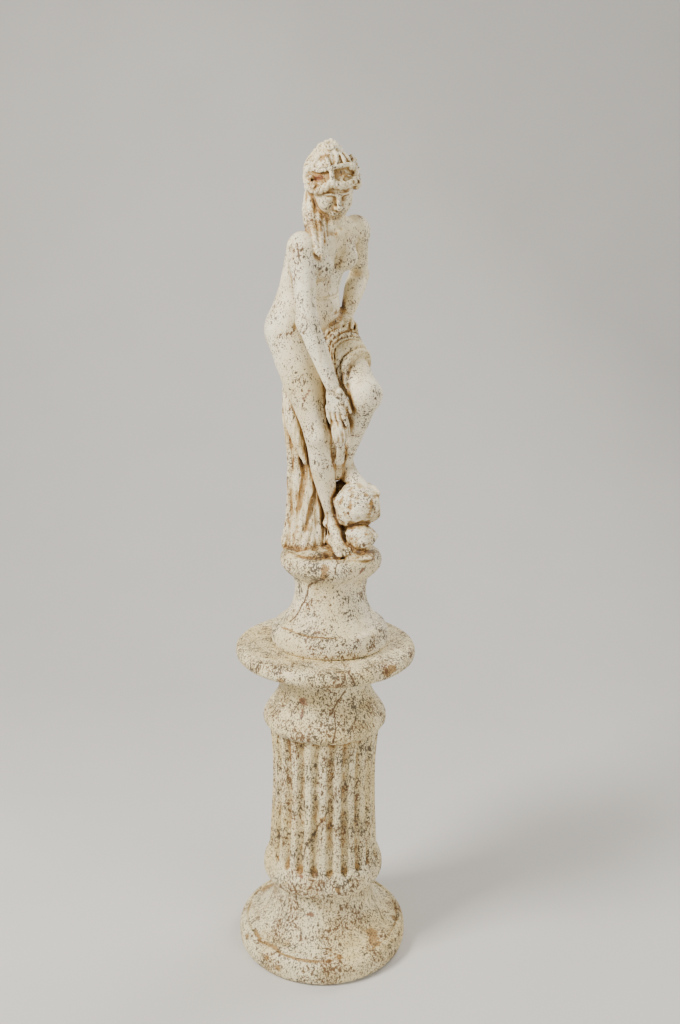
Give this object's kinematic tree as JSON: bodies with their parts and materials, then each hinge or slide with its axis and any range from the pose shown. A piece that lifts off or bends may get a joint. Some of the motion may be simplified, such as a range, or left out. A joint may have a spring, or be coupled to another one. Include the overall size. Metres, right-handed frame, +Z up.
{
  "type": "standing figure statue on a fluted pedestal",
  "caption": "Garden statue of a bather with one foot on a rock, on a turned socle, standing on a round fluted column pedestal in distressed cream paint.",
  "frame": {"origin": "centre of the pedestal's underside, on the floor", "axes": "+Z up, -Y towards the viewer of the front, +X to that viewer's right"},
  "size_m": [0.347, 0.347, 1.5629],
  "materials": {
    "statue": "matte cream paint on cast resin stone, flecked dark, with ochre wash in the hollows and cracks",
    "pedestal": "matte cream paint on cast resin stone, flecked and cracked, with ochre wash in the grooves"
  },
  "bodies": {
    "root": {"statue": "statue", "pedestal": "pedestal"}
  },
  "joints": []
}
